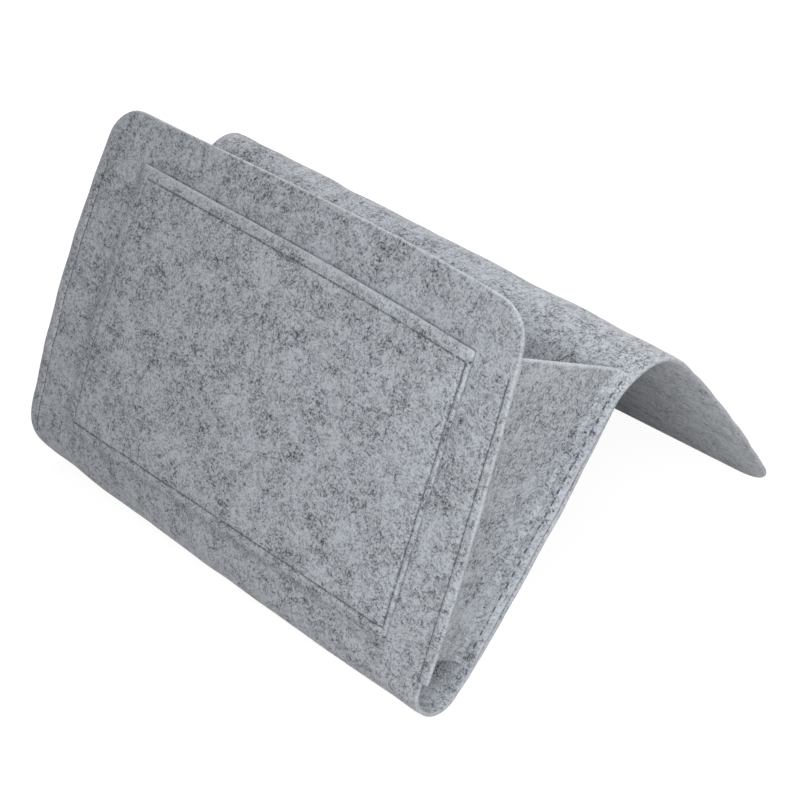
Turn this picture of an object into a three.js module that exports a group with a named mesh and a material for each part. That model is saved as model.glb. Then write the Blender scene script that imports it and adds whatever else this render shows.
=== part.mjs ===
// Felt bedside caddy, in millimetres, +Z up, the front pocket facing -Y.
// One long felt sheet runs down the front, round the bottom fold, up the back, over the ridge
// and down behind as the tuck flap. Two felt gussets close the sides of the main pocket and a
// felt patch makes a flat pocket on the front. Each seam is a needle thread and a bobbin thread.
// The caddy stands as a tent on its bottom fold and on the end of its flap.
import * as THREE from 'three';

// Felt sheet
const SHEET_WIDTH = 320;
const FELT_THICKNESS = 3;
const FRONT_LENGTH = 240; // along the felt, from the bottom line to the front's top edge
const BACK_LENGTH = 409.5; // along the felt, from the bottom line over the ridge to the flap's end
const CORNER_RADIUS = 20; // of the front's two top corners and the flap's two end corners

// The way the tent stands: leans are angles above the floor, radii are to the middle of the felt
const FLAP_SLOPE = 53.2;
const LEFT_FRONT_LEAN = 64.3;
const LEFT_FRONT_BOW = 6.3;
const LEFT_BACK_LEAN = 54;
const LEFT_BOTTOM_RADIUS = 26;
const LEFT_RIDGE_RADIUS = 8.5;
const LEFT_BOTTOM_Y = -1.4;
const RIGHT_FRONT_LEAN = 70.3;
const RIGHT_FRONT_BOW = 0.4;
const RIGHT_BACK_LEAN = 48.4;
const RIGHT_BOTTOM_RADIUS = 16;
const RIGHT_RIDGE_RADIUS = 27.5;
const RIGHT_BOTTOM_Y = -4;

// Patch pocket, sewn on a little out of square
const PATCH_WIDTH = 255;
const PATCH_HEIGHT = 164;
const PATCH_TOP_DROP = 26; // from the front's top edge down to the middle of the patch's top edge
const PATCH_SIDE_SHIFT = 5.4;
const PATCH_TURN = 1.3;
const PATCH_SLACK = 1; // free depth between the patch and the front

// Gussets: a web between front and back, with seam allowances turned outwards
const FRONT_ALLOWANCE = 8;
const BACK_ALLOWANCE = 10;
const GUSSET_TOP_DROP = 23; // from the front's top edge down to the gusset's top edge
const GUSSET_BACK_TOP = 202; // along the back, from the bottom line to the gusset's top edge
const GUSSET_FRONT_START = 46; // along the front, from the bottom line to the web's lower edge
const GUSSET_BACK_START = 27; // along the back, from the bottom line to the web's lower edge
const ALLOWANCE_TAIL = 11; // how far the front allowance hangs below the web
const WEB_BOW = 5; // how far the middle of the web falls inwards

// Seams
const THREAD_WIDTH = 0.9;
const THREAD_DEPTH = 0.4;
const FRONT_SEAM_INSET = 4.5;
const BACK_SEAM_INSET = 5;
const PATCH_SEAM_INSET = 5;
const HEM_DROP = 7.5; // from the patch's top edge down to its hem seam
const SEAM_END_MARGIN = 3;

// Clearance between neighbouring pieces of felt and thread
const CLEARANCE = 0.3;

// Facets
const SHEET_COLUMNS = 11;
const PANEL_ROWS = 15;
const FOLD_ROWS = 15;
const CORNER_ROWS = 6;
const WEB_COLUMNS = 7;
const ALLOWANCE_STEPS = 3;
const GUSSET_ROWS = 19;
const SEAM_STATIONS = 19;

const FELT_GREY = 0xa3a7ad;
const THREAD_GREY = 0x4a4c50;

const { degToRad, lerp } = THREE.MathUtils;
const HALF_WIDTH = SHEET_WIDTH / 2;
const HALF_FELT = FELT_THICKNESS / 2;
const GUSSET_COLUMNS = ALLOWANCE_STEPS + WEB_COLUMNS + 1;
const flapSlope = degToRad(FLAP_SLOPE);

// One end of the tent: lengths of its stretches, worked out so that the flap's end lies on the floor.
function makeEnd(frontLean, frontBow, backLean, bottomRadius, ridgeRadius, bottomY) {
  const back = degToRad(backLean);
  const front = degToRad(frontLean);
  const ridgeTurn = back + flapSlope;
  const ridgeTangent = ridgeRadius * Math.tan(ridgeTurn / 2);
  const backArc = bottomRadius * back;
  const ridgeArc = ridgeRadius * ridgeTurn;
  const rise = HALF_FELT + bottomRadius * (1 - Math.cos(back)) - HALF_FELT * Math.cos(flapSlope);
  const spare = BACK_LENGTH - backArc - ridgeArc + 2 * ridgeTangent - rise / Math.sin(flapSlope);
  const backReach = spare / (1 + Math.sin(back) / Math.sin(flapSlope));
  const backStraight = backReach - ridgeTangent;
  const flapLength = BACK_LENGTH - backArc - backStraight - ridgeArc;
  const curl = (4 * frontBow) / (FRONT_LENGTH - bottomRadius * (Math.PI - front));
  const frontArc = bottomRadius * (Math.PI - front - curl);
  const frontStraight = FRONT_LENGTH - frontArc;
  return {
    front, back, curl, bottomRadius, ridgeRadius, bottomY, ridgeTurn,
    frontRun: [frontArc, frontStraight],
    backRun: [backArc, backStraight, ridgeArc, flapLength],
  };
}

const leftEnd = makeEnd(
  LEFT_FRONT_LEAN, LEFT_FRONT_BOW, LEFT_BACK_LEAN, LEFT_BOTTOM_RADIUS, LEFT_RIDGE_RADIUS, LEFT_BOTTOM_Y,
);
const rightEnd = makeEnd(
  RIGHT_FRONT_LEAN, RIGHT_FRONT_BOW, RIGHT_BACK_LEAN, RIGHT_BOTTOM_RADIUS, RIGHT_RIDGE_RADIUS, RIGHT_BOTTOM_Y,
);

// A profile point at one end: its place in (y, z) and the outward normal there. Outwards is the
// front's shown face, the under side of the bottom fold, the back's rear face and the flap's under side.
const profilePoint = (y, z, ny, nz) => ({ y, z, ny, nz });

// Bottom fold: an arc about a centre over the bottom line, turned by angle towards the back.
function bottomArc(end, angle) {
  const ny = Math.sin(angle);
  const nz = -Math.cos(angle);
  const r = end.bottomRadius;
  return profilePoint(end.bottomY + r * ny, HALF_FELT + r + r * nz, ny, nz);
}

// Front: its heading turns steadily by twice the curl, from steep at the bottom to flatter on top.
function frontStretch(end, share) {
  const startHeading = end.front + end.curl;
  const heading = startHeading - 2 * end.curl * share;
  const radius = end.frontRun[1] / (2 * end.curl);
  const foot = bottomArc(end, startHeading - Math.PI);
  return profilePoint(
    foot.y + radius * (Math.sin(startHeading) - Math.sin(heading)),
    foot.z + radius * (Math.cos(heading) - Math.cos(startHeading)),
    -Math.sin(heading),
    Math.cos(heading),
  );
}

// Back: straight, up from the bottom fold.
function backStretch(end, share) {
  const foot = bottomArc(end, end.back);
  const length = end.backRun[1] * share;
  return profilePoint(
    foot.y + length * Math.cos(end.back), foot.z + length * Math.sin(end.back), foot.ny, foot.nz,
  );
}

// Ridge: an arc that turns the back's heading down to the flap's.
function ridgeArc(end, share) {
  const start = backStretch(end, 1);
  const heading = end.back - end.ridgeTurn * share;
  const ny = Math.sin(heading);
  const nz = -Math.cos(heading);
  const r = end.ridgeRadius;
  return profilePoint(start.y + r * (start.ny - ny), start.z + r * (start.nz - nz), ny, nz);
}

// Flap: straight, down from the ridge to the floor.
function flapStretch(end, share) {
  const start = ridgeArc(end, 1);
  const length = end.backRun[3] * share;
  return profilePoint(
    start.y + length * Math.cos(flapSlope), start.z - length * Math.sin(flapSlope), start.ny, start.nz,
  );
}

const FRONT_RUN = {
  key: 'frontRun',
  stretches: [(end, share) => bottomArc(end, (end.front + end.curl - Math.PI) * share), frontStretch],
};
const BACK_RUN = {
  key: 'backRun',
  stretches: [(end, share) => bottomArc(end, end.back * share), backStretch, ridgeArc, flapStretch],
};

const acrossShare = (x) => x / SHEET_WIDTH + 0.5;

// Distance along a run from the bottom line to where one of its stretches starts, at x.
function stretchStart(run, stretch, x) {
  const share = acrossShare(x);
  let distance = 0;
  for (let k = 0; k < stretch; k += 1) {
    distance += lerp(leftEnd[run.key][k], rightEnd[run.key][k], share);
  }
  return distance;
}

// A point of the felt at x, a distance along a run and an offset out of the middle of the felt.
// The sheet is ruled between its two end profiles.
function sheetPoint(run, x, distance, offset) {
  const share = acrossShare(x);
  const last = run.stretches.length - 1;
  let stretch = 0;
  while (stretch < last && distance > stretchStart(run, stretch + 1, x)) stretch += 1;
  const start = stretchStart(run, stretch, x);
  const along = (distance - start) / (stretchStart(run, stretch + 1, x) - start);
  const a = run.stretches[stretch](leftEnd, along);
  const b = run.stretches[stretch](rightEnd, along);
  const normal = new THREE.Vector3(0, lerp(a.ny, b.ny, share), lerp(a.nz, b.nz, share)).normalize();
  return new THREE.Vector3(x, lerp(a.y, b.y, share), lerp(a.z, b.z, share)).addScaledVector(normal, offset);
}

// A closed solid between two like grids of points, face 0 and face 1, joined round their borders.
function gridSolid(rows, columns, pointAt) {
  const positions = [];
  for (const face of [0, 1]) {
    for (let r = 0; r < rows; r += 1) {
      for (let c = 0; c < columns; c += 1) positions.push(...pointAt(r, c, face).toArray());
    }
  }
  const at = (r, c, face) => (face * rows + r) * columns + c;
  const triangles = [];
  const quad = (a, b, c, d) => triangles.push([a, b, c], [a, c, d]);
  for (let r = 0; r + 1 < rows; r += 1) {
    for (let c = 0; c + 1 < columns; c += 1) {
      quad(at(r, c, 1), at(r, c + 1, 1), at(r + 1, c + 1, 1), at(r + 1, c, 1));
      quad(at(r, c, 0), at(r + 1, c, 0), at(r + 1, c + 1, 0), at(r, c + 1, 0));
    }
  }
  const endRow = rows - 1;
  for (let c = 0; c + 1 < columns; c += 1) {
    quad(at(0, c, 0), at(0, c + 1, 0), at(0, c + 1, 1), at(0, c, 1));
    quad(at(endRow, c, 1), at(endRow, c + 1, 1), at(endRow, c + 1, 0), at(endRow, c, 0));
  }
  const endColumn = columns - 1;
  for (let r = 0; r + 1 < rows; r += 1) {
    quad(at(r, 0, 1), at(r + 1, 0, 1), at(r + 1, 0, 0), at(r, 0, 0));
    quad(at(r + 1, endColumn, 1), at(r, endColumn, 1), at(r, endColumn, 0), at(r + 1, endColumn, 0));
  }
  return closedGeometry(positions, triangles);
}

// A geometry from shared points and triangles, turned so that its faces point outwards.
function closedGeometry(positions, triangles) {
  const corner = (k) => new THREE.Vector3().fromArray(positions, 3 * k);
  let volume = 0;
  for (const [a, b, c] of triangles) volume += corner(a).dot(corner(b).cross(corner(c)));
  const facing = volume > 0 ? triangles : triangles.map(([a, b, c]) => [a, c, b]);
  const geometry = new THREE.BufferGeometry();
  geometry.setAttribute('position', new THREE.Float32BufferAttribute(positions, 3));
  geometry.setIndex(facing.flat());
  geometry.computeVertexNormals();
  return geometry;
}

const caddy = new THREE.Group();

function addPiece(name, geometry, color, roughness) {
  const material = new THREE.MeshStandardMaterial({ color, roughness, metalness: 0 });
  const mesh = new THREE.Mesh(geometry, material);
  mesh.name = name;
  caddy.add(mesh);
}

const addFelt = (name, geometry) => addPiece(name, geometry, FELT_GREY, 0.95);
const addThread = (name, geometry) => addPiece(name, geometry, THREAD_GREY, 0.8);

// How far a rounded corner draws the side in, at a distance from the end edge.
function cornerInset(toEnd) {
  if (toEnd >= CORNER_RADIUS) return 0;
  const depth = CORNER_RADIUS - toEnd;
  return CORNER_RADIUS - Math.sqrt(CORNER_RADIUS ** 2 - depth ** 2);
}

// Rows of a stretch that ends in rounded corners: even steps, then steps of equal angle round the corner.
function roundedRows() {
  const rows = [];
  for (let k = 0; k < PANEL_ROWS; k += 1) rows.push({ share: k / PANEL_ROWS, angle: 0 });
  for (let k = 0; k <= CORNER_ROWS; k += 1) {
    rows.push({ share: 1, angle: ((Math.PI / 2) * k) / CORNER_ROWS });
  }
  return rows;
}

// One stretch of the sheet. Its lower end, and its upper end where the sheet goes on, are drawn
// back by half the clearance.
function addStretch(name, run, stretch, rowCount) {
  const pointAt = (r, c, face) => {
    const x = lerp(-HALF_WIDTH, HALF_WIDTH, c / (SHEET_COLUMNS - 1));
    const from = stretchStart(run, stretch, x) + CLEARANCE / 2;
    const to = stretchStart(run, stretch + 1, x) - CLEARANCE / 2;
    return sheetPoint(run, x, lerp(from, to, r / (rowCount - 1)), lerp(-HALF_FELT, HALF_FELT, face));
  };
  addFelt(name, gridSolid(rowCount, SHEET_COLUMNS, pointAt));
}

// The stretch at the end of a run, with rounded corners on its free end.
function addEndStretch(name, run, runLength) {
  const stretch = run.stretches.length - 1;
  const rows = roundedRows();
  const pointAt = (r, c, face) => {
    const { share, angle } = rows[r];
    const toEndAt = (x) => {
      const from = stretchStart(run, stretch, x) + CLEARANCE / 2;
      const straight = lerp(runLength - from, CORNER_RADIUS, share);
      return straight - CORNER_RADIUS * Math.sin(angle);
    };
    const side = HALF_WIDTH - cornerInset(toEndAt(HALF_WIDTH));
    const x = lerp(-side, side, c / (SHEET_COLUMNS - 1));
    return sheetPoint(run, x, runLength - toEndAt(x), lerp(-HALF_FELT, HALF_FELT, face));
  };
  addFelt(name, gridSolid(rows.length, SHEET_COLUMNS, pointAt));
}

// The bottom fold takes in the arcs of both runs, so it is one piece from the front to the back.
function addBottomFold() {
  const pointAt = (r, c, face) => {
    const x = lerp(-HALF_WIDTH, HALF_WIDTH, c / (SHEET_COLUMNS - 1));
    const frontReach = stretchStart(FRONT_RUN, 1, x) - CLEARANCE / 2;
    const backReach = stretchStart(BACK_RUN, 1, x) - CLEARANCE / 2;
    const signed = lerp(-frontReach, backReach, r / (FOLD_ROWS - 1));
    const run = signed < 0 ? FRONT_RUN : BACK_RUN;
    return sheetPoint(run, x, Math.abs(signed), lerp(-HALF_FELT, HALF_FELT, face));
  };
  addFelt('bottom_fold', gridSolid(FOLD_ROWS, SHEET_COLUMNS, pointAt));
}

addEndStretch('front_panel', FRONT_RUN, FRONT_LENGTH);
addBottomFold();
addStretch('back_panel', BACK_RUN, 1, PANEL_ROWS);
addStretch('top_fold', BACK_RUN, 2, FOLD_ROWS);
addEndStretch('tuck_flap', BACK_RUN, BACK_LENGTH);

// Patch pocket: across and up are measured on the patch from the middle of its top edge.
const patchInner = HALF_FELT + PATCH_SLACK;
const patchOuter = patchInner + FELT_THICKNESS;
const patchTurn = degToRad(PATCH_TURN);

function patchPlace(across, up) {
  const x = PATCH_SIDE_SHIFT + across * Math.cos(patchTurn) + up * Math.sin(patchTurn);
  const distance = FRONT_LENGTH - PATCH_TOP_DROP + up * Math.cos(patchTurn) - across * Math.sin(patchTurn);
  return { x, distance };
}

function patchPoint(r, c, face) {
  const across = lerp(-PATCH_WIDTH / 2, PATCH_WIDTH / 2, c / (SHEET_COLUMNS - 1));
  const { x, distance } = patchPlace(across, lerp(-PATCH_HEIGHT, 0, r / (PANEL_ROWS - 1)));
  return sheetPoint(FRONT_RUN, x, distance, lerp(patchInner, patchOuter, face));
}
addFelt('patch_pocket', gridSolid(PANEL_ROWS, SHEET_COLUMNS, patchPoint));

// Gussets. Steps of equal angle make the rows close together at both ends, where the felt bends.
const evenTurn = (k, count) => 0.5 - 0.5 * Math.cos((Math.PI * k) / (count - 1));
const gussetFrontTop = FRONT_LENGTH - GUSSET_TOP_DROP;

// Points across a gusset: front allowance from its edge to the crease, web from front to back, back
// allowance edge. Columns count from the back, so a quad is split the short way in the slanted tail.
function gussetPoint(side, r, column, face) {
  const c = GUSSET_COLUMNS - 1 - column;
  const rise = evenTurn(r, GUSSET_ROWS);
  const offset = -HALF_FELT - CLEARANCE - FELT_THICKNESS * face;
  const frontDistance = lerp(GUSSET_FRONT_START, gussetFrontTop, rise);
  const backDistance = lerp(GUSSET_BACK_START, GUSSET_BACK_TOP, rise);
  const creaseShift = FELT_THICKNESS * (face - 0.5);
  if (c < ALLOWANCE_STEPS) {
    const toEdge = 1 - c / ALLOWANCE_STEPS;
    const x = lerp(HALF_WIDTH - FRONT_ALLOWANCE + creaseShift, HALF_WIDTH, toEdge);
    const tail = ALLOWANCE_TAIL * toEdge * (1 - rise);
    return sheetPoint(FRONT_RUN, side * x, frontDistance - tail, offset);
  }
  if (c === GUSSET_COLUMNS - 1) return sheetPoint(BACK_RUN, side * HALF_WIDTH, backDistance, offset);
  const across = (c - ALLOWANCE_STEPS) / (WEB_COLUMNS - 1);
  const allowance = lerp(FRONT_ALLOWANCE, BACK_ALLOWANCE, across);
  const bow = WEB_BOW * Math.sin(Math.PI * across) * Math.sin(Math.PI * rise);
  const x = side * (HALF_WIDTH - allowance - bow + creaseShift);
  const front = sheetPoint(FRONT_RUN, x, frontDistance, offset);
  const back = sheetPoint(BACK_RUN, x, backDistance, offset);
  return front.lerp(back, across);
}

for (const [side, name] of [[-1, 'left_gusset'], [1, 'right_gusset']]) {
  addFelt(name, gridSolid(GUSSET_ROWS, GUSSET_COLUMNS, (r, c, face) => gussetPoint(side, r, c, face)));
}

// A flat run of thread along a path of { x, distance } places, lying on an offset surface of the felt.
// Its two sides follow the path's mitred normals.
function threadSolid(run, path, lowOffset, highOffset) {
  const sideways = (k) => {
    const before = path[Math.max(k - 1, 0)];
    const here = path[k];
    const after = path[Math.min(k + 1, path.length - 1)];
    const into = new THREE.Vector2(here.x - before.x, here.distance - before.distance).normalize();
    const out = new THREE.Vector2(after.x - here.x, after.distance - here.distance).normalize();
    const heading = into.clone().add(out).normalize();
    const straightness = Math.max(heading.dot(into), heading.dot(out));
    return new THREE.Vector2(-heading.y, heading.x).multiplyScalar(THREAD_WIDTH / 2 / straightness);
  };
  const pointAt = (r, c, face) => {
    const step = sideways(r).multiplyScalar(2 * c - 1);
    const place = path[r];
    const offset = lerp(lowOffset, highOffset, face);
    return sheetPoint(run, place.x + step.x, place.distance + step.y, offset);
  };
  return gridSolid(path.length, 2, pointAt);
}

// Each seam has its needle thread on the shown side and its bobbin thread on the other side.
// shown and hidden are the offsets of the two felt faces that the threads lie on.
function addSeam(name, run, path, shown, hidden) {
  const outwards = Math.sign(shown - hidden);
  for (const [thread, face, way] of [['needle', shown, outwards], ['bobbin', hidden, -outwards]]) {
    const near = face + way * CLEARANCE;
    addThread(`${name}_${thread}_thread`, threadSolid(run, path, near, near + way * THREAD_DEPTH));
  }
}

// A straight path in equal steps, without its last point where another stretch follows.
function straightPath(from, to, count) {
  return Array.from({ length: count }, (_, k) => {
    const share = k / (count - 1);
    return { x: lerp(from.x, to.x, share), distance: lerp(from.distance, to.distance, share) };
  });
}

function addPatchSeams() {
  const reach = PATCH_WIDTH / 2 - PATCH_SEAM_INSET;
  const foot = PATCH_SEAM_INSET - PATCH_HEIGHT;
  const topLeft = patchPlace(-reach, 0);
  const lowLeft = patchPlace(-reach, foot);
  const lowRight = patchPlace(reach, foot);
  const topRight = patchPlace(reach, 0);
  const around = [
    ...straightPath(topLeft, lowLeft, SEAM_STATIONS).slice(0, -1),
    ...straightPath(lowLeft, lowRight, SEAM_STATIONS).slice(0, -1),
    ...straightPath(lowRight, topRight, SEAM_STATIONS),
  ];
  addSeam('patch_seam', FRONT_RUN, around, patchOuter, -HALF_FELT);
  const hemReach = reach - THREAD_WIDTH / 2 - CLEARANCE;
  const hem = straightPath(patchPlace(-hemReach, -HEM_DROP), patchPlace(hemReach, -HEM_DROP), SEAM_STATIONS);
  addSeam('patch_hem', FRONT_RUN, hem, patchOuter, patchInner);
}
addPatchSeams();

// Side seams, sewn through the sheet and a gusset's allowance.
const allowanceFace = -HALF_FELT - CLEARANCE - FELT_THICKNESS;

function addSideSeams(side, sideName) {
  const frontX = side * (HALF_WIDTH - FRONT_SEAM_INSET);
  const frontPath = straightPath(
    { x: frontX, distance: GUSSET_FRONT_START },
    { x: frontX, distance: gussetFrontTop - SEAM_END_MARGIN },
    SEAM_STATIONS,
  );
  addSeam(`front_${sideName}_seam`, FRONT_RUN, frontPath, HALF_FELT, allowanceFace);
  const backX = side * (HALF_WIDTH - BACK_SEAM_INSET);
  const backPath = Array.from({ length: SEAM_STATIONS }, (_, k) => ({
    x: backX,
    distance: lerp(
      GUSSET_BACK_START + SEAM_END_MARGIN, GUSSET_BACK_TOP - SEAM_END_MARGIN, evenTurn(k, SEAM_STATIONS),
    ),
  }));
  addSeam(`back_${sideName}_seam`, BACK_RUN, backPath, allowanceFace, HALF_FELT);
}
addSideSeams(-1, 'left');
addSideSeams(1, 'right');

// The caddy's reference point is the middle of its footprint, on the floor.
const middle = new THREE.Box3().setFromObject(caddy).getCenter(new THREE.Vector3());
caddy.position.y = -middle.y;

export default caddy;
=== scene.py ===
"""Felt bedside caddy: one long folded sheet, a sewn patch pocket, two gussets and their stitching."""

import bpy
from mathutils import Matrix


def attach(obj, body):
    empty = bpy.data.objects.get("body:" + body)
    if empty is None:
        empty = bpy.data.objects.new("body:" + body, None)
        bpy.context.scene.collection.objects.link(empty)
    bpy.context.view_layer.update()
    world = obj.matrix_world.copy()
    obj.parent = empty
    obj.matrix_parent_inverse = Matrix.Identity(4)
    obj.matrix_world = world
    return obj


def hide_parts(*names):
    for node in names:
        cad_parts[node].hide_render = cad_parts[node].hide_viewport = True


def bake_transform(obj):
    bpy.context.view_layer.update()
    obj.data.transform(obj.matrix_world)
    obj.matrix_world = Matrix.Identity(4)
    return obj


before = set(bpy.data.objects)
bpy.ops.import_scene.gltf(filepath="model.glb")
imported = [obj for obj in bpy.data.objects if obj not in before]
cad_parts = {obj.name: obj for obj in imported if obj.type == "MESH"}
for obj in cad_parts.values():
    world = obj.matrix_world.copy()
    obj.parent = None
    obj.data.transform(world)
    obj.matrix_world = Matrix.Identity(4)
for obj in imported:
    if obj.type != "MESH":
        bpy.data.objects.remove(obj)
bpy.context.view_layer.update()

import math

import bpy
import numpy as np
from bpy.props import FloatProperty, FloatVectorProperty, PointerProperty
from bpy.types import Operator, Panel, PropertyGroup

bl_info = {
    "name": "Felt Bedside Caddy",
    "version": (1, 0, 0),
    "blender": (4, 5, 0),
    "location": "3D View > Sidebar > Caddy",
    "description": "Builds a felt bedside caddy over its frame",
    "category": "Add Mesh",
}

# Sizes of the cut felt in metres, close to those of the part's solids.
SHEET_WIDTH = 0.320
HALF_WIDTH = SHEET_WIDTH / 2
FELT = 0.003
HALF_FELT = FELT / 2
FRONT_LENGTH = 0.240
BACK_LENGTH = 0.4080
FRONT_CORNER = 0.020
FLAP_CORNER = 0.024
CENTRE_Y = 0.12060724
SIDES = {-1: "left", 1: "right"}

# How the felt lies. The front's sag is skewed to the right. The bottom fold is pinched at its right end,
# swells between its ends and is tucked in at its left end. A bell is the middle and the reach of a bell
# curve along the sheet. An ease is where a step starts and the length that it takes.
SAG_SKEW = 0.8
FOLD_PINCH = 0.0009
PINCH_BELL = (0.014, 0.007)
PINCH_EASE = (0.090, 0.060)
FOLD_SAG = 0.0008
FOLD_TUCK = 0.0024
SWELL_BELL = (-0.018, 0.009)
TUCK_EASE = (0.100, 0.055)
RIPPLE_SEED = 41
RIPPLE_WAVES = 26
RIPPLE_LENGTHS = (0.014, 0.060)
RIPPLE_CALM = 0.040

# On the right the front's margin stands out past the bottom fold's cut edge, down to the height of its
# foot. On the left its edge is cut in from a height of the front to the bottom line. Along the sheet the
# edges ease from one of these places across it to the next, and the flap tapers from a distance along it.
MARGIN_FOOT = 0.038
CORNER_HEIGHT = 0.051
FRONT_LEFT = -0.160
FRONT_RIGHT = 0.1635
FRONT_RIGHT_TOP = 0.1610
FRONT_RIGHT_BULGE = 0.0028
BOTTOM_LEFT = -0.1460
RIDGE_LEFT = -0.1624
BOTTOM_RIGHT = 0.1593
BACK_RIGHT = 0.1624
FLAP_RIGHT = 0.1572
CORNER_POWER = 1.15
LEFT_RETURN = 0.030
RIDGE_STRETCH = (0.150, 0.270)
RIDGE_EASE = 0.040
BACK_EASE = (-0.034, 0.110)
SHEET_EASE = (0.120, 0.080)
FLAP_TAPER = 0.200

# The patch: its size, its place and turn on the front, its middle's lift off the sheet's where it is slack
# and where it is sewn, and how far its sewn sides are pressed in.
PATCH_WIDTH = 0.2576
PATCH_HEIGHT = 0.1625
PATCH_TOP_DROP = 0.0275
PATCH_SIDE_SHIFT = 0.0067
PATCH_TURN = math.radians(1.3)
PATCH_MID_LIFT = 0.004
PATCH_SEWN_LIFT = 0.0032
PATCH_EASE = 0.014
PATCH_PRESS = 0.0007
PATCH_PRESS_REACH = 0.005

# Each gusset's front crease and front cut edge across the sheet, its back crease and allowance, its foot
# and top along front and back, the web's bow, its lift off the sheet's middle, and the creases' reach.
GUSSET_CREASE = {-1: -0.1495, 1: 0.152}
GUSSET_EDGE = {-1: -0.1585, 1: 0.161}
BACK_INNER = 0.150
BACK_ALLOWANCE = {-1: 0.0092, 1: 0.0116}
ALLOWANCE_PRESS = 0.0011
GUSSET_FRONT = (0.046, 0.2135)
GUSSET_BACK = (0.027, 0.198)
ALLOWANCE_TAIL = 0.005
WEB_BOW = 0.005
GUSSET_LIFT = -0.0033
FRONT_CREASE = 0.0030
BACK_CREASE = 0.0042

# Columns of a gusset's grid in its front allowance, each crease, the web and the back allowance, and its
# rows. The ways, as y and z, in which the allowances are laid out when it is flat. Up a share of its rise
# the back allowance's tail is thinner by a share of the felt, and up another the painted shade along its
# seam, of a given strength, eases in.
FRONT_COLUMNS, BEND_COLUMNS, WEB_COLUMNS, BACK_COLUMNS = 8, 6, 40, 17
GUSSET_ROWS = 68
FRONT_UNFOLD = (-0.93, 0.37)
BACK_UNFOLD = (0.76, -0.65)
TAIL_THIN = 0.85
TAIL_RISE = 0.10
GUSSET_SEAM_PAINTED_SHADE = 0.4
GUSSET_SEAM_RISE = 0.06

# Seam lines: across the sheet on front and back, and from its middle and its top edge on the patch. Seams
# on the left are fainter. Each pulls a groove and has a dark line of painted shade along it, and the
# patch's foot and left edge have painted shade too.
FRONT_SEAM = {-1: -0.1525, 1: 0.1595}
FRONT_SEAM_SPAN = (0.0405, 0.206)
FRONT_SEAM_SLANT = 0.0016
SLANT_LENGTH = 0.100
BACK_SEAM = {-1: -0.155, 1: 0.158}
PATCH_SEAM = (0.0072 - PATCH_WIDTH / 2, PATCH_WIDTH / 2 - 0.0026)
PATCH_FOOT_SEAM = 0.0075 - PATCH_HEIGHT
HEM_DROP = 0.0068
FAINT_SEAM = 0.6
SEAM_END_MARGIN = 0.003
GROOVE_REACH = 0.0009
SEAM_LINE_REACH = 0.0006
# Strength of the painted shade along the patch's foot edge and its left edge.
PATCH_FOOT_PAINTED_SHADE = 0.5
PATCH_LEFT_PAINTED_SHADE = 0.25
FRAYED_TOP = 0.003

# Stitches of the patch and front, and bolder ones of the back: the share of the pitch in which thread
# shows, its radius over the thread's own, how unevenly it sinks into the felt, and its pitch over the
# thread's own.
CLOSE_STITCH = (0.94, 1.0, 0.5, 1.0)
OPEN_STITCH = (0.56, 1.6, 0.35, 1.9)

# One stitch: its rings and sides, how far it strays along the seam and sways across it, and over the
# thread's radius how high it lies, how far its ends dip, its flatness and the square of its tip.
STITCH_RINGS, STITCH_SIDES = 7, 6
STITCH_STRAY, STITCH_SWAY = 0.00010, 0.00006
STITCH_RISE, STITCH_DIP, STITCH_FLAT, STITCH_TIP = 0.45, 1.3, 0.8, 0.02

# The long sheet is two pieces that meet at this distance up the back.
SHEET_PARTING = 0.120

# Steps of the grids, with finer rows over the ridge, two close rows at the foot of the margin and a second
# ladder of close columns beside the right seam. A probe off the felt gives the way that it faces.
FELT_STEP = 0.0026
COLUMN_STEP = 0.003
RIDGE_ROWS = (0.050, 0.125)
RIDGE_STEP = 0.0015
NOTCH_GAP = 0.0008
CORNER_ROWS = 11
SEAM_LADDER = 0.0020
PROBE = 0.001
EDGE_REACH = 0.004

# Where each piece is cut from the wool, in metres.
WOOL_PLACE = {
    "pocket_sheet": (0.0, 0.0, 0.0),
    "flap_sheet": (0.0, 0.0, 0.0),
    "patch_pocket_felt": (1.7, 0.9, 0.4),
    "left_gusset_felt": (-2.3, 0.6, 0.8),
    "right_gusset_felt": (2.9, -0.7, 1.3),
}

# Fibres of the felt: the way that they lie in degrees, and their length and width in millimetres.
DARK_FIBRES = ((18, 3.6, 0.85), (78, 3.2, 0.80), (137, 3.4, 0.80))
PALE_FIBRES = ((48, 4.0, 0.75), (112, 3.8, 0.75))

# Weights of clouds, specks, grain and fibres in the felt's shade, from 0 in pale wool to 1 in dark wool.
CLOUD_SHADE = 1.15
SPECK_SHADE = 0.60
GRAIN_SHADE = 0.70
DARK_SHADE = 0.32
PALE_SHADE = -0.24
BASE_SHADE = 0.37
MIDDLE_SHADE = 0.42

# The camera stands where the photograph was taken from.
CAMERA_PLACE = (0.75025, -0.70901, 0.78535)
CAMERA_AZIMUTH = math.radians(46.725)
CAMERA_ELEVATION = math.radians(35.314)
CAMERA_LENS = 99.54
CAMERA_SENSOR = 36.0
CAMERA_CLIP = 0.05

# Lamps: the size of each square lamp, and where it stands. All of them aim at one point.
LAMPS = {
    "key": (0.5, (0.66, -0.26, 0.60)),
    "front": (0.45, (0.46, -0.78, 0.46)),
    "top": (1.4, (0.0, 0.35, 1.7)),
    "back": (0.8, (0.1, 0.9, 1.0)),
}
LAMP_AIM = (0.0, 0.0, 0.1)

# The floor as the camera sees it: its half-width, its own light, and the faint grey that takes a shadow.
FLOOR_REACH = 6.0
FLOOR_GLOW = 0.93
FLOOR_FAINT = 0.16

# Rim of a cut edge: share of the rounding that a ring stands out, and its height over half the felt. The
# lint of the cut reaches the faces in part.
CUT_RIM = ((0.62, 0.76), (1.0, 0.32), (1.0, -0.32), (0.62, -0.76))
FACE_LINT = 0.7


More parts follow.
